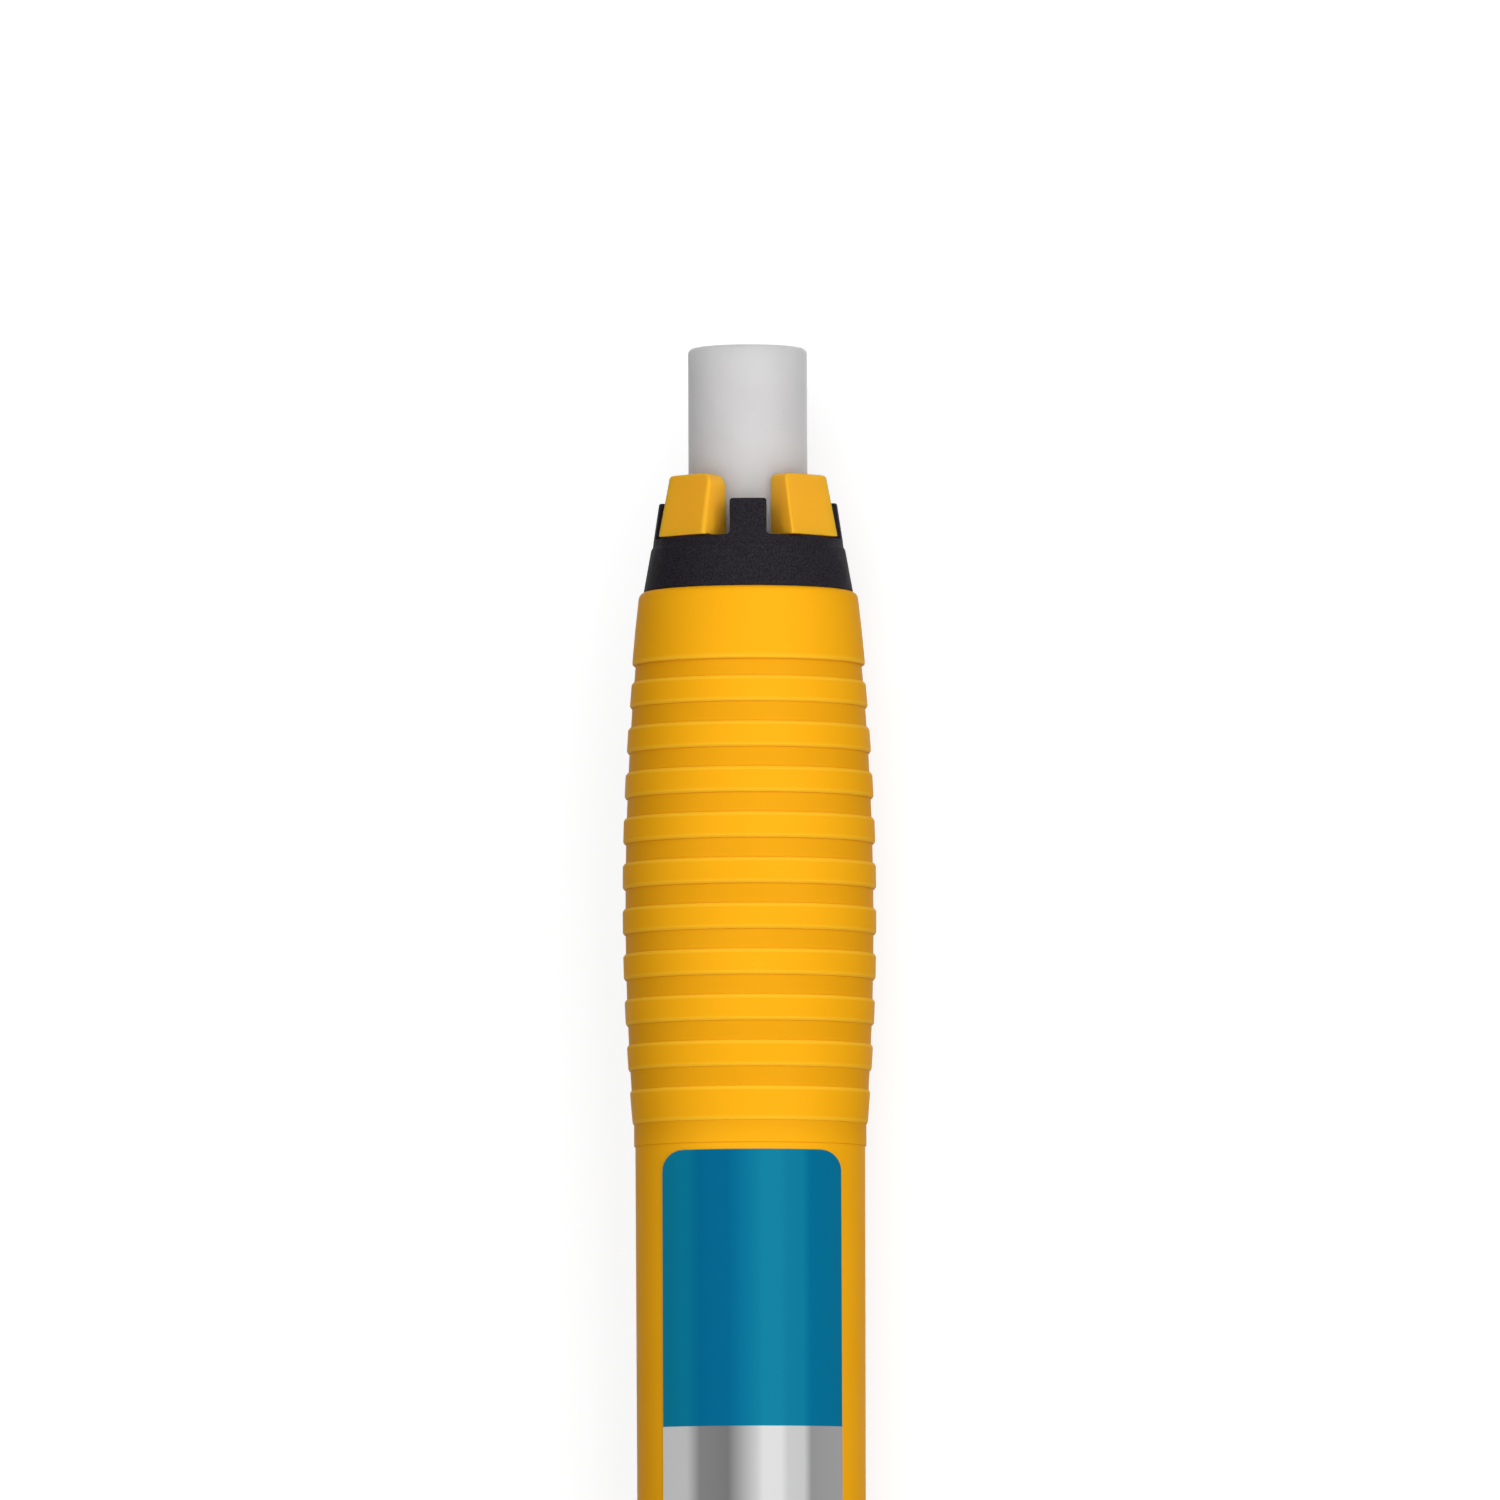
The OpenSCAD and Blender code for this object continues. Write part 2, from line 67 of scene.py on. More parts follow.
# Where the holder lies. Pieces are modelled with the axis on x, the front rim at x = 0, the label
# facing +z and the clip facing -y, and are then turned and moved to this place.
barrel_low, barrel_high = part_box("barrel")
rim_place = Vector((barrel_high.x, (barrel_low.y + barrel_high.y) / 2,
                    (barrel_low.z + barrel_high.z) / 2))
joints = {joint["name"]: joint for joint in frame["joints"]}
along = Vector((1, 0, 0))
to_label = -Vector(joints["clip_flex"]["axis"])
to_clip = along.cross(to_label).normalized()
label_turn = math.atan2(-to_label.y, to_label.z)

# Radii of the stick and of the jaws that grip it
ERASER_R = 2.5
GRIP_FACE_R = 2.54
ARM_R = 2.99

# Radii of the nose ring
RING_BORE_R = 3.4525
SPIGOT_R = 3.9525
NECK_R = 3.9725
LEDGE_R = 4.0825
RING_BASE_R = 4.4025

# Radii of the barrel, first inside and then outside, and of the button
WEB_R = 3.2
CHAMBER_R = 3.72
MOUTH_R = 3.9725
BORE_R = 3.99
TAIL_R = 4.35
RIM_R = 4.5825
REAR_R = 4.66
SMOOTH_R = 4.82
BAND_R = 4.89
GRIP_R = 5.325
BUTTON_R = 3.3

# Lengths along the axis
JAW_GAP = 0.04
HEAD_LEN = 2.6
ARM_LEN = 16.1
FINGER_LEN = 1.53
ERASER_OUT = 5.46
ERASER_LEN = 65
ARMS_TO_WEB = 14.55
WEB_T = 1.5

# Places along the axis, from the front rim
SEAT_X = 2.17
HEAD_X = SEAT_X + JAW_GAP
HEAD_TOP_X = HEAD_X + HEAD_LEN
FINGER_TOP_X = SEAT_X + FINGER_LEN
ERASER_TIP_X = HEAD_TOP_X + ERASER_OUT
ARM_ROOT_X = HEAD_X - ARM_LEN
WEB_X = ARM_ROOT_X - ARMS_TO_WEB
SPRING_X = WEB_X - WEB_T
TAIL_X = -96
BARREL_END_X = -104
FLANGE_END_X = -106
BUTTON_END_X = -114

# Tolerances: for welding points, for cutting at a point that is already there, for finding a drawn
# point, and for all other tests on places
WELD_REACH = 0.0005
CUT_REACH = 0.0001
SAME_POINT = 0.002
SLACK = 0.01


# Tools for modelling

def begin(name):
    """The primitive just added gets its name and is opened for editing, all of it selected."""
    piece = bpy.context.object
    piece.name = name
    piece.data.name = name
    bpy.ops.object.mode_set(mode="EDIT")
    bpy.ops.mesh.select_all(action="SELECT")
    return piece


def choose(piece, kind, test):
    """Selects the vertices, edges or faces that pass the test, and nothing else."""
    bpy.ops.mesh.select_mode(type=kind)
    bpy.ops.mesh.select_all(action="DESELECT")
    shell = bmesh.from_edit_mesh(piece.data)
    parts = {"VERT": shell.verts, "EDGE": shell.edges, "FACE": shell.faces}[kind]
    for part in parts:
        if test(part):
            part.select_set(True)
    bmesh.update_edit_mesh(piece.data)


def reshape(piece, place):
    """Moves each vertex to where place() puts its millimetres."""
    shell = bmesh.from_edit_mesh(piece.data)
    for vert in shell.verts:
        vert.co = Vector(place(*(vert.co / MM))) * MM
    bmesh.update_edit_mesh(piece.data)


def pull(x, y, z):
    """Extrudes what is selected by this much."""
    bpy.ops.mesh.extrude_region_move(TRANSFORM_OT_translate={"value": (x * MM, y * MM, z * MM)})


def cut(normal, place):
    """Cuts the whole piece along the plane at this place on the axis that normal names."""
    bpy.ops.mesh.select_all(action="SELECT")
    bpy.ops.mesh.bisect(plane_co=[part * place * MM for part in normal], plane_no=normal,
                        threshold=CUT_REACH * MM)


def weld():
    """Merges doubled vertices and turns the faces outwards."""
    bpy.ops.mesh.select_mode(type="VERT")
    bpy.ops.mesh.select_all(action="SELECT")
    bpy.ops.mesh.remove_doubles(threshold=WELD_REACH * MM)
    bpy.ops.mesh.normals_make_consistent(inside=False)


def radius(point):
    """Distance of a point from the axis, in millimetres."""
    return math.hypot(point.y, point.z) / MM


def near(vert, point):
    """True where a vertex lies at the point, an x and a height."""
    return abs(vert.co.x / MM - point[0]) < SAME_POINT and abs(vert.co.z / MM - point[1]) < SAME_POINT


def draw_line(name, points):
    """Draws a line of vertices through the points, each an x and a radius, and leaves it open."""
    bpy.ops.object.select_all(action="DESELECT")
    bpy.ops.mesh.primitive_plane_add(size=MM, location=(0, 0, 0))
    piece = begin(name)
    bpy.ops.mesh.merge(type="CENTER")
    start = points[0]
    bpy.ops.transform.translate(value=(start[0] * MM, 0, start[1] * MM))
    for a, b in zip(points, points[1:]):
        pull(b[0] - a[0], 0, b[1] - a[1])
    return piece


def close_line(piece, points):
    """Joins the line's last point to its first."""
    choose(piece, "VERT", lambda vert: near(vert, points[0]) or near(vert, points[-1]))
    bpy.ops.mesh.edge_face_add()


def turned(name, points, roundings=(), steps=96, closed=True):
    """A piece turned on a lathe: its outline is drawn, rounded at some corners and spun."""
    piece = draw_line(name, points)
    if closed:
        close_line(piece, points)
    for corners, size in roundings:
        choose(piece, "VERT", lambda vert: any(near(vert, corner) for corner in corners))
        bpy.ops.mesh.bevel(offset=size * MM, segments=4, affect="VERTICES", clamp_overlap=True)
    bpy.ops.mesh.select_all(action="SELECT")
    bpy.ops.mesh.spin(steps=steps, angle=math.tau, center=(0, 0, 0), axis=(1, 0, 0))
    weld()
    return piece


def flat_bar(name, points, width):
    """A bar of this width over a side outline of x and outward points."""
    piece = draw_line(name, points)
    close_line(piece, points)
    bpy.ops.mesh.select_all(action="SELECT")
    bpy.ops.mesh.edge_face_add()
    bpy.ops.transform.translate(value=(0, -width / 2 * MM, 0))
    pull(0, width, 0)
    return piece


def apply_modifier(piece, kind, **settings):
    """Adds a modifier with these settings and applies it."""
    bpy.ops.object.mode_set(mode="OBJECT")
    bpy.context.view_layer.objects.active = piece
    modifier = piece.modifiers.new(kind.title(), kind)
    for key, value in settings.items():
        setattr(modifier, key, value)
    bpy.ops.object.modifier_apply(modifier=modifier.name)


def mark(piece, name, measure):
    """Gives each point an attribute that the colour reads, from its x, y and z."""
    bpy.ops.object.mode_set(mode="OBJECT")
    mask = piece.data.attributes.new(name, "FLOAT", "POINT")
    for vert, value in zip(piece.data.vertices, mask.data):
        value.value = float(measure(*(vert.co / MM)))


def lay_down(piece, smooth=35):
    """Closes the piece, puts it in its place, in its mesh, and smooths it up to this angle."""
    bpy.ops.object.mode_set(mode="OBJECT")
    bpy.ops.object.select_all(action="DESELECT")
    piece.select_set(True)
    bpy.context.view_layer.objects.active = piece
    piece.rotation_euler.x = label_turn
    piece.location = rim_place
    bpy.ops.object.transform_apply(location=True, rotation=True, scale=True)
    bpy.ops.object.shade_smooth_by_angle(angle=math.radians(smooth))


def laid_x(x):
    """The point on the axis at this x, in metres, where the holder lies."""
    return rim_place + Vector((x * MM, 0, 0))


def dress(piece, body, slot, nodes, *materials):
    """Gives the piece its materials and the body that it moves with, and hides the solids it stands for.
    """
    for material in materials:
        piece.data.materials.append(material)
    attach(piece, body)
    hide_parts(*nodes)


# Tools for materials

# The Mix node's colour sockets: the share, both colours and the result
MIX_SHARE = 0
MIX_UNDER = 6
MIX_OVER = 7
MIX_RESULT = 2

# Most of a noise's values lie between these
NOISE_LOW = 0.3
NOISE_HIGH = 0.7


def new_material(name, roughness, specular=0.5, metallic=0.0):
    material = bpy.data.materials.new(name)
    material.use_nodes = True
    shader = material.node_tree.nodes["Principled BSDF"]
    shader.inputs["Roughness"].default_value = roughness
    shader.inputs["Specular IOR Level"].default_value = specular
    shader.inputs["Metallic"].default_value = metallic
    return material


def add_noise(material, size, detail=2.0, stretch=(1, 1, 1)):
    """A noise with features of this size in millimetres, on the piece's own coordinates."""
    tree = material.node_tree
    place = tree.nodes.new("ShaderNodeTexCoord")
    fit = tree.nodes.new("ShaderNodeMapping")
    fit.inputs["Scale"].default_value = stretch
    noise = tree.nodes.new("ShaderNodeTexNoise")
    noise.inputs["Scale"].default_value = 1 / (size * MM)
    noise.inputs["Detail"].default_value = detail
    tree.links.new(place.outputs["Object"], fit.inputs["Vector"])
    tree.links.new(fit.outputs["Vector"], noise.inputs["Vector"])
    return noise.outputs["Fac"]


def add_mark(material, name):
    """Reads the attribute of this name that mark() gives the piece."""
    attribute = material.node_tree.nodes.new("ShaderNodeAttribute")
    attribute.attribute_name = name
    return attribute.outputs["Fac"]


def add_ramp(material, source, *stops):
    """A colour ramp from this source, with each stop a place and a colour."""
    ramp = material.node_tree.nodes.new("ShaderNodeValToRGB")
    elements = ramp.color_ramp.elements
    while len(elements) < len(stops):
        elements.new(0.5)
    for element, (place, colour) in zip(elements, stops):
        element.position = place
        element.color = (*colour, 1)
    material.node_tree.links.new(source, ramp.inputs["Fac"])
    return ramp.outputs["Color"]


def add_range(material, source, low, high):
    """Spreads a noise's middle values over this range."""
    spread = material.node_tree.nodes.new("ShaderNodeMapRange")
    spread.inputs["From Min"].default_value = NOISE_LOW
    spread.inputs["From Max"].default_value = NOISE_HIGH
    spread.inputs["To Min"].default_value = low
    spread.inputs["To Max"].default_value = high
    material.node_tree.links.new(source, spread.inputs["Value"])
    return spread.outputs["Result"]


def add_bump(material, source, height, strength, under=None):
    """A bump of this height in millimetres, over another bump where one is given."""
    tree = material.node_tree
    bump = tree.nodes.new("ShaderNodeBump")
    bump.inputs["Distance"].default_value = height * MM
    bump.inputs["Strength"].default_value = strength
    tree.links.new(source, bump.inputs["Height"])
    if under is not None:
        tree.links.new(under, bump.inputs["Normal"])
    return bump.outputs["Normal"]


def add_maths(material, operation, first, second):
    """Reckons with a source and a number, or with two sources."""
    tree = material.node_tree
    node = tree.nodes.new("ShaderNodeMath")
    node.operation = operation
    tree.links.new(first, node.inputs[0])
    if isinstance(second, float):
        node.inputs[1].default_value = second
    else:
        tree.links.new(second, node.inputs[1])
    return node.outputs[0]


def add_mix(material, blend, share, colour):
    """Blends this colour, by a share that is a source, over what is joined to its other input."""
    tree = material.node_tree
    mix = tree.nodes.new("ShaderNodeMix")
    mix.data_type = "RGBA"
    mix.blend_type = blend
    mix.inputs[MIX_OVER].default_value = (*colour, 1)
    tree.links.new(share, mix.inputs[MIX_SHARE])
    return mix


def paint(material, socket, source):
    """Joins a source to one of the shader's sockets."""
    tree = material.node_tree
    tree.links.new(source, tree.nodes["Principled BSDF"].inputs[socket])


def tint(material, name, blend, colour, share=1.0):
    """Blends a colour over the material's own, by this share where the piece's mark is 1."""
    tree = material.node_tree
    own = tree.nodes["Principled BSDF"].inputs["Base Color"].links[0].from_socket
    amount = add_maths(material, "MULTIPLY", add_mark(material, name), share)
    mix = add_mix(material, blend, amount, colour)
    tree.links.new(own, mix.inputs[MIX_UNDER])
    paint(material, "Base Color", mix.outputs[MIX_RESULT])


def let_light_in(material, weight, depth, tones):
    """Makes the material faintly translucent, down to this depth in millimetres."""
    shader = material.node_tree.nodes["Principled BSDF"]
    shader.inputs["Subsurface Weight"].default_value = weight
    shader.inputs["Subsurface Radius"].default_value = tones
    shader.inputs["Subsurface Scale"].default_value = depth * MM


# Finishes

def satin_plastic(name, colour, deep_colour, roughness, specular):
    """Moulded plastic: faintly cloudy, with a fine sandblasted skin."""
    material = new_material(name, roughness, specular)
    clouds = add_noise(material, size=5, detail=3)
    paint(material, "Base Color", add_ramp(material, clouds, (NOISE_LOW, deep_colour), (0.62, colour)))
    patches = add_noise(material, size=2.2)
    paint(material, "Roughness", add_range(material, patches, roughness - 0.04, roughness + 0.05))
    grain = add_bump(material, add_noise(material, size=0.11, detail=1), height=0.004, strength=0.35)
    waves = add_noise(material, size=1.4)
    paint(material, "Normal", add_bump(material, waves, height=0.006, strength=0.4, under=grain))
    return material


def grained_black(name, specular):
    """Black plastic with a dense, fine grain."""
    material = new_material(name, roughness=0.5, specular=specular)
    grain = add_noise(material, size=0.07)
    tone = add_ramp(material, grain, (0.35, (0.013, 0.0115, 0.0145)), (0.65, (0.029, 0.026, 0.0325)))
    paint(material, "Base Color", tone)
    paint(material, "Roughness", add_range(material, add_noise(material, size=0.6), 0.48, 0.62))
    paint(material, "Normal", add_bump(material, grain, height=0.012, strength=0.5))
    return material


def eraser_vinyl(name):
    """Soft off-white vinyl: matt, slightly clouded, with faint rubbed streaks."""
    material = new_material(name, roughness=0.6, specular=0.3)
    shader = material.node_tree.nodes["Principled BSDF"]
    shader.inputs["Sheen Weight"].default_value = 1.0
    shader.inputs["Sheen Roughness"].default_value = 0.55
    let_light_in(material, weight=1.0, depth=6, tones=(1.0, 0.94, 0.92))
    clouds = add_noise(material, size=3.2, detail=4)
    tone = add_ramp(material, clouds,
                    (NOISE_LOW, (0.575, 0.562, 0.564)), (NOISE_HIGH, (0.625, 0.614, 0.618)))
    paint(material, "Base Color", tone)
    rubbed = add_noise(material, size=0.3, stretch=(0.15, 1, 1))
    streaks = add_bump(material, rubbed, height=0.008, strength=0.4)
    grain = add_noise(material, size=0.09)
    paint(material, "Normal", add_bump(material, grain, height=0.006, strength=0.4, under=streaks))
    return material


# Where the film's painted reflection bands are across its width, and how bright each one is
FILM_REFLECTION_BANDS = ((0, 1), (0.13, 0.75), (0.2, 0.15), (0.36, 0.05), (0.52, 0.75), (0.56, 1), (0.66, 1),
              (0.7, 0.75), (0.79, 0.75), (0.83, 0.25), (1, 0.4))


def film_with_painted_reflections(name, deep, bright):
    """Smooth printed film, with deep and bright painted reflection bands that run along it, and faint
    dust under it.
    """
    material = new_material(name, roughness=0.3, specular=0.02)
    stops = [(place, tuple(low + share * (high - low) for low, high in zip(deep, bright)))
             for place, share in FILM_REFLECTION_BANDS]
    paint(material, "Base Color", add_ramp(material, add_mark(material, "across"), *stops))
    patches = add_noise(material, size=6, detail=0)
    paint(material, "Roughness", add_range(material, patches, 0.29, 0.31))
    dust = add_noise(material, size=0.3, detail=1)
    paint(material, "Normal", add_bump(material, dust, height=0.003, strength=0.3))
    return material


def drawn_steel(name):
    """Spring wire with fine drawing marks."""
    material = new_material(name, roughness=0.28, metallic=1.0)
    marks = add_noise(material, size=0.12, detail=3)
    tone = add_ramp(material, marks, (NOISE_LOW, (0.45, 0.45, 0.46)), (NOISE_HIGH, (0.62, 0.62, 0.62)))
    paint(material, "Base Color", tone)
    paint(material, "Roughness", add_range(material, marks, 0.24, 0.38))
    return material


yellow = satin_plastic("satin_yellow", (0.955, 0.438, 0.009), (0.925, 0.418, 0.007),
                       roughness=0.4, specular=0.01)
# The grooves' floors are darkened by painted shade
tint(yellow, "groove", "MULTIPLY", (0.88, 0.855, 0.85))
# The ribs' corners and the band's rear edge are lightened by a painted highlight
tint(yellow, "painted_edge_highlight", "MIX", (1.0, 0.56, 0.03), share=0.6)
amber = satin_plastic("satin_amber", (0.98, 0.45, 0.022), (0.96, 0.43, 0.019),
                      roughness=0.4, specular=0.1)
let_light_in(amber, weight=0.6, depth=0.8, tones=(1.0, 0.7, 0.3))
tube_white = satin_plastic("tube_white", (0.74, 0.72, 0.66), (0.70, 0.68, 0.62),
                           roughness=0.45, specular=0.4)
black = grained_black("grained_black", specular=0.02)
rear_black = grained_black("rear_black", specular=0.3)
vinyl = eraser_vinyl("eraser_vinyl")
teal_film = film_with_painted_reflections("teal_film", (0, 0.125, 0.265), (0.004, 0.206, 0.333))
silver_film = film_with_painted_reflections("silver_film", (0.145, 0.145, 0.148), (0.67, 0.67, 0.673))
steel = drawn_steel("drawn_steel")


# Barrel: its front band, ribbed grip, smooth rear and the thin tail under the clip

# The front band widens from the rim, swells a little half way, and eases off near its end
BAND_LEN = 3.1
BAND_SWELL = 0.02
BAND_END_LEN = 0.25
BAND_END_RISE = 0.012

# The grip bulges in the middle, and its grooves' floors bulge a little further back
RIB_COUNT = 10
RIB_PITCH = 1.907
RIB_W = 1.09
LAST_RIB_W = 1.42
FIRST_GROOVE_W = 0.7
LAST_GROOVE_W = 0.92
FIRST_RIB_X = -BAND_LEN - FIRST_GROOVE_W
LAST_RIB_END_X = FIRST_RIB_X - (RIB_COUNT - 1) * RIB_PITCH - LAST_RIB_W
GRIP_END_X = LAST_RIB_END_X - LAST_GROOVE_W
GRIP_MID_X = (GRIP_END_X - BAND_LEN) / 2
GRIP_HALF = (-GRIP_END_X - BAND_LEN) / 2
RIB_DROP = 0.48
GROOVE_DEPTH = 0.12
GROOVE_DROP = 0.43
GROOVE_SHIFT = 0.3

# A rib's corner is worn back by this much along the axis, and towards the axis by this much, or by
# this share of the groove's depth where that is less. A point beside it keeps its rounding small.
CORNER_LEN = 0.1
CORNER_DROP = 0.07
CORNER_SHARE = 0.6
CORNER_BESIDE = 0.08

# How far the painted highlight reaches past a rib's corner, and over the band's rear edge
HIGHLIGHT_REACH = 0.03
BAND_HIGHLIGHT_LEN = 0.12
BAND_HIGHLIGHT_DROP = 0.09
# What keeps the painted groove shade off the barrel's inner wall and off the step behind the grip
GROOVE_MARGIN = 0.5

# Small roundings
RIM_ROUND = 0.28
BAND_ROUND = 0.11
RIB_ROUND = 0.04
FOOT_ROUND = 0.025
STEP_ROUND = 0.02
TAIL_ROUND = 0.05

SPIGOT_LEN = 6
BARREL_STEPS = 128


def rib_r(x):
    return GRIP_R - RIB_DROP * ((x - GRIP_MID_X) / GRIP_HALF) ** 2


def groove_r(x):
    return GRIP_R - GROOVE_DEPTH - GROOVE_DROP * ((x - GRIP_MID_X + GROOVE_SHIFT) / GRIP_HALF) ** 2


def corner_r(x):
    """Radius at which a rib's worn corner begins."""
    return rib_r(x) - min(CORNER_DROP, CORNER_SHARE * (rib_r(x) - groove_r(x)))


def rib_ends(k):
    start = FIRST_RIB_X - k * RIB_PITCH
    return start, start - (LAST_RIB_W if k == RIB_COUNT - 1 else RIB_W)


def in_painted_groove_shade(x, y, z):
    """True on the floors of the grooves, where shade is painted."""
    out = math.hypot(y, z)
    in_grip = GRIP_END_X + GROOVE_MARGIN < x < -BAND_LEN + SLACK
    return in_grip and CHAMBER_R + GROOVE_MARGIN < out < (rib_r(x) + groove_r(x)) / 2 - SLACK


def on_painted_highlight_edge(x, y, z):
    """True on the corners of the ribs, and on the band's rear edge, where a highlight is painted."""
    out = math.hypot(y, z)
    on_band = abs(x + BAND_LEN) < BAND_HIGHLIGHT_LEN and out > BAND_R - BAND_HIGHLIGHT_DROP
    return on_band or any(abs(x - end) < CORNER_LEN + HIGHLIGHT_REACH and out > corner_r(x) - SLACK
                          for k in range(RIB_COUNT) for end in rib_ends(k))


def make_barrel():
    rim = (0, RIM_R)
    band_end = (-BAND_LEN, BAND_R)
    rib_corners = []
    rib_feet = [(-BAND_LEN, groove_r(-BAND_LEN))]
    outline = [(0, MOUTH_R), rim, (-BAND_LEN / 2, (RIM_R + BAND_R) / 2 + BAND_SWELL),
               (-BAND_LEN + BAND_END_LEN, BAND_R - BAND_END_RISE), band_end, rib_feet[0]]
    for k in range(RIB_COUNT):
        start, end = rib_ends(k)
        middle = (start + end) / 2
        for x, inward in ((start, -1), (end, 1)):
            corner_x = x + inward * CORNER_LEN
            beside_x = corner_x + inward * CORNER_BESIDE
            foot = (x, groove_r(x))
            corners = [(x, corner_r(x)), (corner_x, rib_r(corner_x))]
            way_up = [foot, *corners, (beside_x, rib_r(beside_x))]
            outline += way_up if inward < 0 else [(middle, rib_r(middle)), *reversed(way_up)]
            rib_corners += corners
            rib_feet.append(foot)
    grip_edge = (GRIP_END_X, groove_r(LAST_RIB_END_X))
    tail_edge = (TAIL_X, REAR_R)
    outline += [grip_edge, (GRIP_END_X, SMOOTH_R), tail_edge, (TAIL_X, TAIL_R), (BARREL_END_X, TAIL_R),
                (BARREL_END_X, BORE_R), (SPRING_X, BORE_R), (SPRING_X, WEB_R), (WEB_X, WEB_R),
                (WEB_X, CHAMBER_R), (-SPIGOT_LEN, CHAMBER_R), (-SPIGOT_LEN, MOUTH_R)]
    roundings = [([rim], RIM_ROUND), ([band_end], BAND_ROUND), (rib_corners, RIB_ROUND),
                 (rib_feet, FOOT_ROUND), ([grip_edge], STEP_ROUND), ([tail_edge], TAIL_ROUND)]
    piece = turned("barrel_shell", outline, roundings, steps=BARREL_STEPS)
    # Mask for the painted shade on the grooves' floors
    mark(piece, "groove", in_painted_groove_shade)
    # Mask for the painted highlight on the ribs' corners and the band's rear edge
    mark(piece, "painted_edge_highlight", on_painted_highlight_edge)
    lay_down(piece)
    dress(piece, "holder", "yellow_plastic", ["barrel"], yellow)


# Nose ring: a turned ring with four fingers drawn up out of its top

NECK_LEN = 0.3
NECK_FLARE = 0.035
LEDGE_W = 0.11
SEAT_CHAMFER = 0.25
CHAMFER_X = SEAT_X - SEAT_CHAMFER
KEY_X = SEAT_X - 3
FINGER_IN_R = 2.75
FINGER_HALF = 0.775
# Half a finger's width at the neck, and what a test on it leaves, in degrees
FINGER_SPAN = math.degrees(math.asin(FINGER_HALF / NECK_R))
SPAN_SLACK = 0.1
# How far a finger's outer face leans in at its top
FINGER_TAPER = 0.23

LEDGE_ROUND = 0.05
NECK_ROUND = 0.04
FINGER_FILLET = 0.17
FILLET_REACH = 0.06
FINGER_ROUND = 0.12
RING_EDGE = 0.03


def off_finger(point):
    """How far a point lies from the nearest finger's middle, in degrees."""
    angle = math.degrees(math.atan2(point.y, point.z))
    return abs((angle + 45) % 90 - 45)


def across_finger(point):
    """How far a point lies beside the nearest finger's middle, in millimetres."""
    return min(abs(point.y), abs(point.z)) / MM


def square_finger(x, y, z):
    """Makes a finger's sides parallel, and leans its outer face in towards the top."""
    out = math.hypot(y, z)
    angle = math.degrees(math.atan2(y, z))
    middle = round(angle / 90) * 90
    off = math.radians(angle - middle)
    if x < CHAMFER_X - SLACK or abs(math.degrees(off)) > FINGER_SPAN + SPAN_SLACK:
        return x, y, z
    if x < FINGER_TOP_X - SLACK and out > RING_BORE_R + SLACK:
        return x, y, z
    side = FINGER_HALF * math.degrees(off) / FINGER_SPAN
    outward = out * math.cos(off)
    if x > FINGER_TOP_X - SLACK and out > NECK_R - SLACK:
        outward -= FINGER_TAPER
    turn = math.radians(middle)
    return (x, outward * math.sin(turn) + side * math.cos(turn),
            outward * math.cos(turn) - side * math.sin(turn))


def make_nose_ring():
    ledge_x = SEAT_X - NECK_LEN
    ledge_edge = (ledge_x - LEDGE_W, LEDGE_R)
    neck_foot = (ledge_x, NECK_R + NECK_FLARE)
    outline = [(-SPIGOT_LEN, RING_BORE_R), (-SPIGOT_LEN, SPIGOT_R), (0, SPIGOT_R), (0, RING_BASE_R),
               ledge_edge, neck_foot, (SEAT_X, NECK_R), (SEAT_X, RING_BORE_R + SEAT_CHAMFER),
               (CHAMFER_X, RING_BORE_R), (KEY_X, RING_BORE_R)]
    roundings = [([ledge_edge], LEDGE_ROUND), ([neck_foot], NECK_ROUND)]
    piece = turned("nose_ring_shell", outline, roundings)

    def under_finger(face):
        return off_finger(face.calc_center_median()) < FINGER_SPAN

    def on_key(face):
        middle = face.calc_center_median()
        in_bore = abs(radius(middle) - RING_BORE_R) < SLACK
        return under_finger(face) and in_bore and KEY_X < middle.x / MM < CHAMFER_X

    def on_finger_foot(face):
        on_seat = face.calc_center_median().x / MM > CHAMFER_X - SLACK and face.normal.x > 0.5
        return under_finger(face) and on_seat

    # The keys inside the ring, and the fingers out of the seat and the keys' tops
    choose(piece, "FACE", on_key)
    shrink = FINGER_IN_R / RING_BORE_R
    bpy.ops.mesh.extrude_region_move()
    bpy.ops.transform.resize(value=(1, shrink, shrink), center_override=(0, 0, 0))
    choose(piece, "FACE", on_finger_foot)
    pull(FINGER_TOP_X - SEAT_X, 0, 0)
    bpy.ops.transform.resize(value=(0, 1, 1), center_override=(FINGER_TOP_X * MM, 0, 0))
    weld()
    reshape(piece, square_finger)
    bpy.ops.mesh.normals_make_consistent(inside=False)

    def beside_finger(vert, reach):
        return abs(across_finger(vert.co) - FINGER_HALF) < reach

    def at_side_foot(vert):
        on_ring = radius(vert.co) > RING_BORE_R - SLACK
        at_seat = (CHAMFER_X + SEAT_X) / 2 < vert.co.x / MM < SEAT_X + SLACK
        return on_ring and at_seat and beside_finger(vert, FILLET_REACH)

    def at_top_corner(vert):
        return vert.co.x / MM > FINGER_TOP_X - SLACK and beside_finger(vert, SLACK)

    # Fillets at the fingers' feet, then round top corners
    for test, size in ((at_side_foot, FINGER_FILLET), (at_top_corner, FINGER_ROUND)):
        choose(piece, "EDGE", lambda edge: all(map(test, edge.verts)))
        bpy.ops.mesh.bevel(offset=size * MM, segments=4, affect="EDGES")
    weld()
    apply_modifier(piece, "BEVEL", width=RING_EDGE * MM, segments=2, limit_method="ANGLE",
                   angle_limit=math.radians(40), use_clamp_overlap=True)
    lay_down(piece, smooth=40)
    dress(piece, "holder", "black_plastic", ["nose_ring"], black)


# Collet jaws: a head with a flat outer face, outside the ring, on a long springy arm

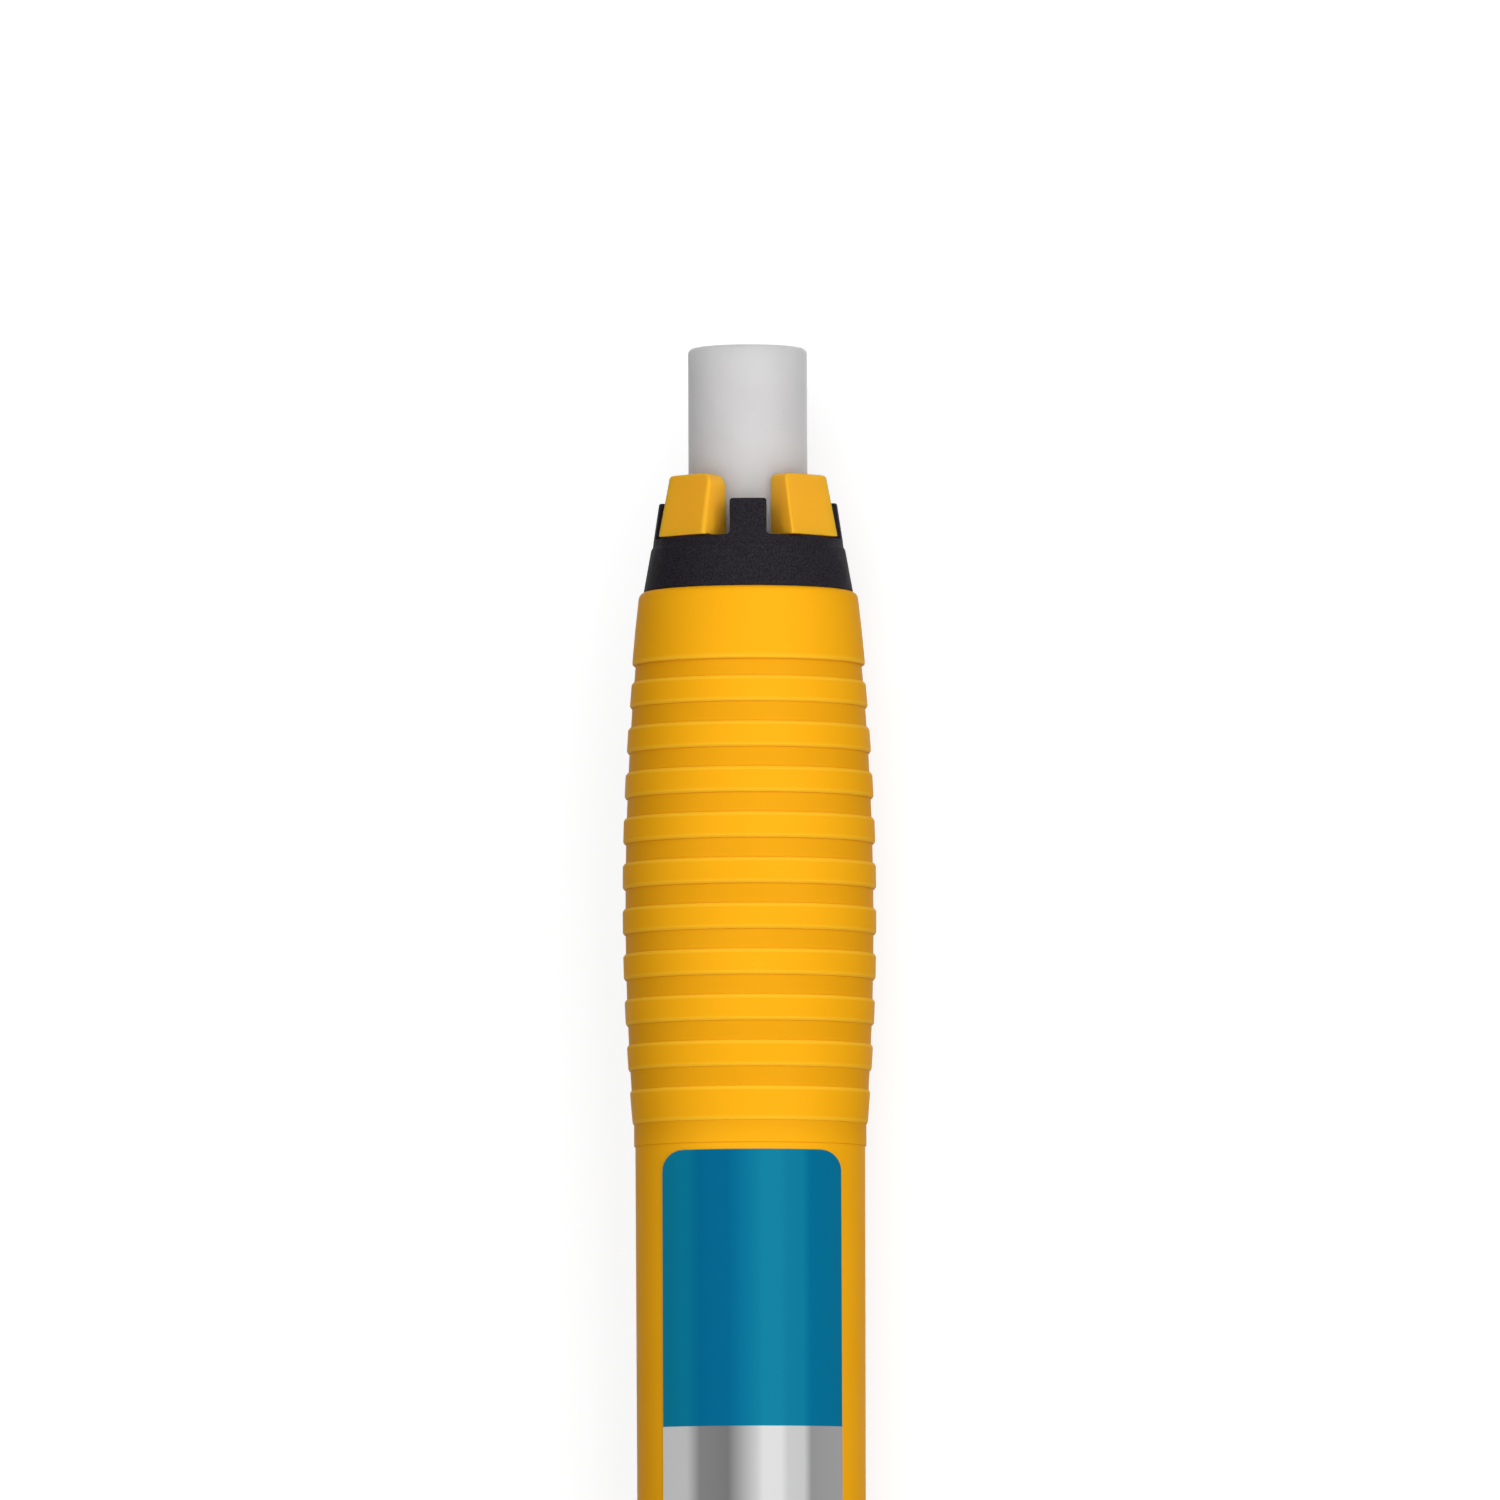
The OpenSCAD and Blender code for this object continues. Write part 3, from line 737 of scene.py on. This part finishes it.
# Half a jaw's width at the corners of its grip face, how far out these lie, and how its sides flare
JAW_HALF_W = 0.979
JAW_CORNER_OUT = 2.344
JAW_FLARE = math.tan(math.radians(13))
HEAD_FOOT_R = 3.99
HEAD_TOP_R = 3.43
JAW_CUTS = 14

HEAD_TOP_ROUND = 0.14
HEAD_RIM_ROUND = 0.12
HEAD_SIDE_ROUND = 0.07
HEAD_FOOT_ROUND = 0.05


def jaw_half_w(out):
    return JAW_HALF_W + (out - JAW_CORNER_OUT) * JAW_FLARE


def follow_circle(x, y, z):
    """Bends the flat bar to its circle as far out as the arm reaches, and less and less above it."""
    share = y / jaw_half_w(z)
    bend = min(max((HEAD_TOP_R - z) / (HEAD_TOP_R - ARM_R), 0), 1)
    out = z - bend * (z - math.sqrt(z * z - y * y))
    return x, share * jaw_half_w(out), out


def make_jaw(number, slot_top=HEAD_TOP_ROUND, slot_edge=HEAD_SIDE_ROUND):
    """slot_top and slot_edge round the top and the outer edge of the side towards the label."""
    angle = math.radians(90 * number - 45)
    outline = [(ARM_ROOT_X, GRIP_FACE_R), (ARM_ROOT_X, ARM_R), (HEAD_X - SEAT_CHAMFER, ARM_R),
               (HEAD_X, ARM_R + SEAT_CHAMFER), (HEAD_X, HEAD_FOOT_R), (HEAD_TOP_X, HEAD_TOP_R),
               (HEAD_TOP_X, GRIP_FACE_R)]
    piece = flat_bar(f"jaw_{number}_head", outline, 1)
    reshape(piece, lambda x, y, z: (x, 2 * y * jaw_half_w(z), z))
    weld()

    def on_top(vert):
        return vert.co.x / MM > HEAD_TOP_X - SLACK

    def at_foot(vert):
        return vert.co.z / MM > ARM_R + SEAT_CHAMFER - SLACK and abs(vert.co.x / MM - HEAD_X) < SLACK

    def outside(vert):
        return vert.co.z / MM > HEAD_TOP_R - SLACK

    def side_of(edge):
        """1 on the side towards the label, -1 on the other, and 0 for an edge from side to side."""
        a, b = (vert.co.y * math.sin(angle) for vert in edge.verts)
        return 0 if a * b < 0 else math.copysign(1, a)

    def both(edge, test):
        return all(map(test, edge.verts))

    roundings = (
        (slot_top, lambda edge: side_of(edge) > 0 and both(edge, on_top)),
        (HEAD_TOP_ROUND, lambda edge: side_of(edge) < 0 and both(edge, on_top)),
        (HEAD_RIM_ROUND, lambda edge: side_of(edge) == 0 and both(edge, on_top) and both(edge, outside)),
        (slot_edge, lambda edge: side_of(edge) > 0 and both(edge, outside)),
        (HEAD_SIDE_ROUND, lambda edge: side_of(edge) < 0 and both(edge, outside)),
        (HEAD_FOOT_ROUND, lambda edge: both(edge, at_foot)))
    widest = max(size for size, test in roundings)
    for size, test in roundings:
        choose(piece, "EDGE", test)
        bpy.ops.transform.edge_bevelweight(value=size / widest)
    apply_modifier(piece, "BEVEL", width=widest * MM, segments=5, limit_method="WEIGHT",
                   use_clamp_overlap=True)

    # Cuts across the width let the bar bend
    bpy.ops.object.mode_set(mode="EDIT")
    for k in range(1, JAW_CUTS):
        cut((0, 1, 0), jaw_half_w(HEAD_FOOT_R) * (2 * k / JAW_CUTS - 1))
    reshape(piece, follow_circle)
    weld()
    turn = Matrix.Rotation(angle, 3, "X")
    reshape(piece, lambda *point: turn @ Vector(point))
    lay_down(piece, smooth=30)
    dress(piece, f"jaw_{number}", "amber_plastic", [f"collet_jaw_{number}"], amber)


# Eraser stick

ERASER_ROUND = 0.22
# The tip is a little higher in its middle, inside this radius
TIP_RISE = 0.02
TIP_FLAT_R = 1.2
# Rings that cut the long side into shorter faces
STICK_RINGS = (-5, 5)


def make_eraser():
    back_x = ERASER_TIP_X - ERASER_LEN
    corners = [(back_x, ERASER_R), (ERASER_TIP_X, ERASER_R)]
    outline = [(back_x, 0), corners[0], *((x, ERASER_R) for x in STICK_RINGS), corners[1],
               (ERASER_TIP_X, TIP_FLAT_R), (ERASER_TIP_X + TIP_RISE, 0)]
    piece = turned("eraser_stick", outline, [(corners, ERASER_ROUND)], closed=False)
    lay_down(piece)
    dress(piece, "refill", "eraser_vinyl", ["eraser_refill"], vinyl)


# Label: a film in two colours that follows the barrel's round front

LABEL_X = GRIP_END_X - 0.3
LABEL_LEN = 46
LABEL_HALF_W = 3.7
LABEL_ASIDE = -0.06
LABEL_CORNER = 0.85
LABEL_T = 0.05
LABEL_LIFT = 0.02
LABEL_STRIPS = 40
TEAL_END_X = GRIP_END_X - 11.83


def smooth_r(x):
    """Radius of the smooth barrel behind the grip."""
    return SMOOTH_R - (SMOOTH_R - REAR_R) * (GRIP_END_X - x) / (GRIP_END_X - TAIL_X)


def make_label():
    bpy.ops.object.select_all(action="DESELECT")
    bpy.ops.mesh.primitive_plane_add(size=MM, location=(0, 0, 0))
    piece = begin("label_film")
    bpy.ops.transform.resize(value=(LABEL_LEN, 2 * LABEL_HALF_W, 1))
    bpy.ops.transform.translate(value=((LABEL_X - LABEL_LEN / 2) * MM, 0, 0))
    bpy.ops.mesh.bevel(offset=LABEL_CORNER * MM, segments=8, affect="VERTICES")
    widest = math.asin(LABEL_HALF_W / SMOOTH_R)
    for k in range(1, LABEL_STRIPS):
        cut((0, 1, 0), SMOOTH_R * math.sin(widest * (2 * k / LABEL_STRIPS - 1)))
    cut((1, 0, 0), TEAL_END_X)
    reshape(piece, lambda x, y, z: (x, y + LABEL_ASIDE, z))
    reshape(piece, lambda x, y, z: (x, y, math.sqrt((smooth_r(x) + LABEL_LIFT) ** 2 - y * y)))
    weld()
    choose(piece, "FACE", lambda face: face.normal.z < 0)
    bpy.ops.mesh.flip_normals()
    apply_modifier(piece, "SOLIDIFY", thickness=LABEL_T * MM, offset=1)
    mark(piece, "across", lambda x, y, z: (LABEL_HALF_W + LABEL_ASIDE - y) / (2 * LABEL_HALF_W))
    lay_down(piece)
    dress(piece, "holder", "label_film", ["label"], teal_film, silver_film)
    border_x = laid_x(TEAL_END_X).x
    for face in piece.data.polygons:
        face.material_index = 0 if face.center.x > border_x else 1


# Return spring

SPRING_LEN = 16
SPRING_TURNS = 8
SPRING_STEPS = 40
WIRE_D = 0.5
COIL_R = 3.52
# What a piece stands clear of the one that it sits on or in
FIT_GAP = 0.02


def make_spring():
    bpy.ops.object.select_all(action="DESELECT")
    bpy.ops.mesh.primitive_circle_add(vertices=12, radius=WIRE_D / 2 * MM, location=(0, 0, 0),
                                      rotation=(math.pi / 2, 0, 0))
    piece = begin("spring_wire")
    front = SPRING_X - WIRE_D / 2 - FIT_GAP
    bpy.ops.transform.translate(value=(front * MM, 0, COIL_R * MM))
    bpy.ops.object.mode_set(mode="OBJECT")
    bpy.ops.object.transform_apply(location=True, rotation=True, scale=True)
    rise = SPRING_LEN - WIRE_D - 2 * FIT_GAP
    apply_modifier(piece, "SCREW", angle=math.tau, screw_offset=-rise / SPRING_TURNS * MM,
                   iterations=SPRING_TURNS, axis="X", steps=SPRING_STEPS, render_steps=SPRING_STEPS)
    bpy.ops.object.mode_set(mode="EDIT")
    bpy.ops.mesh.select_mode(type="EDGE")
    bpy.ops.mesh.select_all(action="DESELECT")
    bpy.ops.mesh.select_non_manifold()
    bpy.ops.mesh.edge_face_add()
    weld()
    lay_down(piece, smooth=40)
    dress(piece, "holder", "spring_steel", ["return_spring"], steel)
    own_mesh(piece)


# Tail bush: a flange behind the barrel, and a sleeve in it that guides the button

BUSH_X = -97.5
BUSH_BORE_R = BUTTON_R + 0.1
FLANGE_R = GRIP_R - 0.3
FLANGE_ROUND = 0.5
BUSH_BORE_ROUND = 0.15


def make_tail_bush():
    sleeve_r = BORE_R - FIT_GAP
    rear_edge = (FLANGE_END_X, FLANGE_R)
    hole_edge = (FLANGE_END_X, BUSH_BORE_R)
    outline = [(BUSH_X, BUSH_BORE_R), hole_edge, rear_edge, (BARREL_END_X, FLANGE_R),
               (BARREL_END_X, sleeve_r), (BUSH_X, sleeve_r)]
    roundings = [([rear_edge], FLANGE_ROUND), ([hole_edge], BUSH_BORE_ROUND)]
    piece = turned("tail_bush_shell", outline, roundings)
    lay_down(piece)
    dress(piece, "holder", "black_plastic", ["tail_bush"], rear_black)


# Push button: a cap with a shallow dish in its end, and a wider skirt that holds the tube

CAP_WALL = 0.8
DISH_RIM = 1.2
DISH_DEPTH = 0.12
SKIRT_X = -88
SKIRT_END_X = -97.2
SKIRT_R = 3.84
SOCKET_END_X = -96
SOCKET_R = 3.07
CAP_ROUND = 0.85
DISH_ROUND = 0.3


def make_push_button():
    cap_edge = (BUTTON_END_X, BUTTON_R)
    dish_edge = (BUTTON_END_X, BUTTON_R - DISH_RIM)
    hollow_r = BUTTON_R - CAP_WALL
    outline = [(BUTTON_END_X + CAP_WALL, 0), (BUTTON_END_X + CAP_WALL, hollow_r),
               (SOCKET_END_X, hollow_r), (SOCKET_END_X, SOCKET_R), (SKIRT_X, SOCKET_R),
               (SKIRT_X, SKIRT_R), (SKIRT_END_X, SKIRT_R), (SKIRT_END_X, BUTTON_R), cap_edge,
               dish_edge, (BUTTON_END_X + DISH_DEPTH, 0)]
    roundings = [([cap_edge], CAP_ROUND), ([dish_edge], DISH_ROUND)]
    piece = turned("push_button_cap", outline, roundings, closed=False)
    lay_down(piece)
    dress(piece, "plunger", "black_plastic", ["push_button"], rear_black)


# Pocket clip: a collar with a post, and the springy arm

CLIP_OUT = 8.32
CLIP_IN = 6.82
CLIP_W = 3.5
CLIP_EDGE = 0.28
CLIP_ROOT_X = -97
CLIP_TIP_X = -60
COLLAR_REAR_EDGE = 0.1

# The post stands in from the collar's rear edge, and slopes up to the arm
POST_INSET = 0.5
POST_SLOPE = 1.5

# The arm starts inside the post. Its tip is bevelled, and bent in to a bump that nearly touches.
ARM_OVERLAP = 0.3
TIP_LEN = 1.5
TIP_DROP = 0.75
TIP_TO_BUMP = 3
BUMP_LEN = 2
BUMP_GAP = 0.08
# The arm is cut closely over this length from its root
BEND_CUTS = 23
BEND_CUT_STEP = 0.6


def clip_bar(name, points):
    """A bar with soft edges over a side outline, on the clip's side of the barrel."""
    piece = flat_bar(name, points, CLIP_W)
    reshape(piece, lambda x, y, z: (x, -z, y))
    weld()
    apply_modifier(piece, "BEVEL", width=CLIP_EDGE * MM, segments=4, limit_method="ANGLE",
                   angle_limit=math.radians(30))
    return piece


def make_clip_collar():
    bore_r = TAIL_R + FIT_GAP
    front_edge = (TAIL_X, GRIP_R)
    rear_edge = (BARREL_END_X, GRIP_R)
    outline = [(BARREL_END_X, bore_r), rear_edge, front_edge, (TAIL_X, bore_r)]
    roundings = [([front_edge], CLIP_EDGE), ([rear_edge], COLLAR_REAR_EDGE)]
    ring = turned("clip_collar_shell", outline, roundings)
    bpy.ops.object.mode_set(mode="OBJECT")
    post_back = BARREL_END_X + POST_INSET
    post_front = TAIL_X - CLIP_EDGE
    middle_r = (TAIL_R + GRIP_R) / 2
    post = clip_bar("clip_post", [
        (post_back, middle_r), (post_back, GRIP_R), (post_back + POST_SLOPE, CLIP_OUT),
        (CLIP_ROOT_X, CLIP_OUT), (CLIP_ROOT_X, CLIP_IN), (post_front, GRIP_R), (post_front, middle_r)])
    bpy.ops.object.select_all(action="DESELECT")
    post.select_set(True)
    ring.select_set(True)
    bpy.context.view_layer.objects.active = ring
    bpy.ops.object.join()
    lay_down(ring, smooth=30)
    dress(ring, "holder", "black_plastic", ["clip_collar"], rear_black)


def make_clip_arm():
    back = CLIP_ROOT_X - ARM_OVERLAP
    bump_x = CLIP_TIP_X - TIP_TO_BUMP
    bump_r = smooth_r(bump_x) + BUMP_GAP
    piece = clip_bar("clip_arm_bar", [
        (back, CLIP_OUT), (CLIP_TIP_X - TIP_LEN, CLIP_OUT), (CLIP_TIP_X, CLIP_OUT - TIP_DROP),
        (CLIP_TIP_X, CLIP_IN - TIP_DROP), (bump_x, bump_r), (bump_x - BUMP_LEN, bump_r),
        (bump_x - BUMP_LEN - CLIP_IN + bump_r, CLIP_IN), (back, CLIP_IN)])
    bpy.ops.object.mode_set(mode="EDIT")
    for k in range(1, BEND_CUTS + 1):
        cut((1, 0, 0), back + BEND_CUT_STEP * k)
    lay_down(piece, smooth=30)
    piece.data.materials.append(rear_black)
    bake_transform(piece)
    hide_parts("clip_arm")


make_barrel()
make_nose_ring()
make_jaw(1, slot_top=0.28, slot_edge=0.1)
make_jaw(2)
make_jaw(3)
make_jaw(4, slot_top=0.5, slot_edge=0.2)
make_eraser()
make_label()
make_spring()
make_tail_bush()
make_push_button()
make_clip_collar()
make_clip_arm()
for node, material in (("collet_sleeve", amber), ("refill_tube", tube_white),
                       ("spring_collar", tube_white)):
    frame["nodes"][node].data.materials.clear()
    frame["nodes"][node].data.materials.append(material)


# Camera, from the photograph's side

def facing(back, up):
    """A turn whose z points back from what is looked at, and whose y is as near to up as can be."""
    side = up.cross(back).normalized()
    return Matrix((side, back.cross(side), back)).transposed()


def round_axis(degrees):
    """The direction at this angle from the label's, towards the clip."""
    turn = math.radians(degrees)
    return to_label * math.cos(turn) + to_clip * math.sin(turn)


PHOTO_SPAN = 63.0
PHOTO_MIDDLE_BACK = 6.633
PHOTO_MIDDLE_ASIDE = 0.046
SENSOR = 36
CAMERA_DISTANCE = 750
CAMERA_BACK = math.radians(3.75)
CAMERA_ROLL = math.radians(0.2)

target = rim_place - along * PHOTO_MIDDLE_BACK * MM + to_clip * PHOTO_MIDDLE_ASIDE * MM
view_from = to_label * math.cos(CAMERA_BACK) - along * math.sin(CAMERA_BACK)
camera_place = target + view_from * CAMERA_DISTANCE * MM
camera_up = along + to_clip * math.tan(CAMERA_ROLL)
camera_data = bpy.data.cameras.new("camera")
camera_data.sensor_width = SENSOR
camera_data.lens = SENSOR * CAMERA_DISTANCE / PHOTO_SPAN
# From 1 cm to 20 m
camera_data.clip_start = 0.01
camera_data.clip_end = 20
camera = bpy.data.objects.new("camera", camera_data)
bpy.context.scene.collection.objects.link(camera)
camera.matrix_world = Matrix.Translation(camera_place) @ facing(view_from, camera_up).to_4x4()
bpy.context.scene.camera = camera


# Studio: a pale floor, a long softbox on the clip's side and a broader, dimmer one opposite

# How far off and how long the lamps are, in metres, and how far forward they are moved
SOFTBOX_AWAY = 0.6
SOFTBOX_LONG = 1.4
SOFTBOX_FORWARD = 0.1
WORLD_TONE = (0.145, 0.145, 0.148)


def add_softbox(name, degrees, wide, radiance):
    """A long lamp along the holder, at this angle round the axis, and so many degrees wide."""
    direction = (round_axis(degrees) + along * SOFTBOX_FORWARD).normalized()
    width = 2 * SOFTBOX_AWAY * math.tan(math.radians(wide / 2))
    data = bpy.data.lights.new(name, "AREA")
    data.shape = "RECTANGLE"
    data.size = width
    data.size_y = SOFTBOX_LONG
    data.energy = radiance * math.pi * width * SOFTBOX_LONG
    lamp = bpy.data.objects.new(name, data)
    bpy.context.scene.collection.objects.link(lamp)
    lamp.matrix_world = (Matrix.Translation(target + direction * SOFTBOX_AWAY)
                         @ facing(direction, along).to_4x4())
    lamp.visible_camera = False


add_softbox("key_softbox", degrees=28, wide=46, radiance=2.1)
add_softbox("fill_softbox", degrees=-28, wide=56, radiance=0.98)

world = bpy.data.worlds.new("studio")
world.use_nodes = True
world.node_tree.nodes["Background"].inputs["Color"].default_value = (*WORLD_TONE, 1)
bpy.context.scene.world = world

# The floor, in metres, throws little light back on the holder, and is pale where it is seen
FLOOR_SIZE = 6
FLOOR_DARK = (0.1, 0.1, 0.1)
FLOOR_PALE = (0.5, 0.5, 0.5)
FLOOR_GLOW = 0.68


def make_floor():
    bpy.ops.object.select_all(action="DESELECT")
    bpy.ops.mesh.primitive_plane_add(size=FLOOR_SIZE, location=(0, 0, 0))
    floor = bpy.context.object
    floor.name = "floor"
    material = new_material("pale_floor", roughness=0.9, specular=0.1)
    tree = material.node_tree
    rays = tree.nodes.new("ShaderNodeLightPath").outputs
    seen = add_maths(material, "MAXIMUM", rays["Is Camera Ray"], rays["Is Glossy Ray"])
    seen = add_maths(material, "MAXIMUM", seen, rays["Is Transmission Ray"])
    tone = add_mix(material, "MIX", seen, FLOOR_PALE)
    tone.inputs[MIX_UNDER].default_value = (*FLOOR_DARK, 1)
    paint(material, "Base Color", tone.outputs[MIX_RESULT])
    glow = tree.nodes.new("ShaderNodeEmission")
    tree.links.new(add_maths(material, "MULTIPLY", seen, FLOOR_GLOW), glow.inputs["Strength"])
    both = tree.nodes.new("ShaderNodeAddShader")
    tree.links.new(tree.nodes["Principled BSDF"].outputs["BSDF"], both.inputs[0])
    tree.links.new(glow.outputs["Emission"], both.inputs[1])
    tree.links.new(both.outputs["Shader"], tree.nodes["Material Output"].inputs["Surface"])
    floor.data.materials.append(material)


make_floor()
bpy.context.scene.view_settings.view_transform = "Standard"
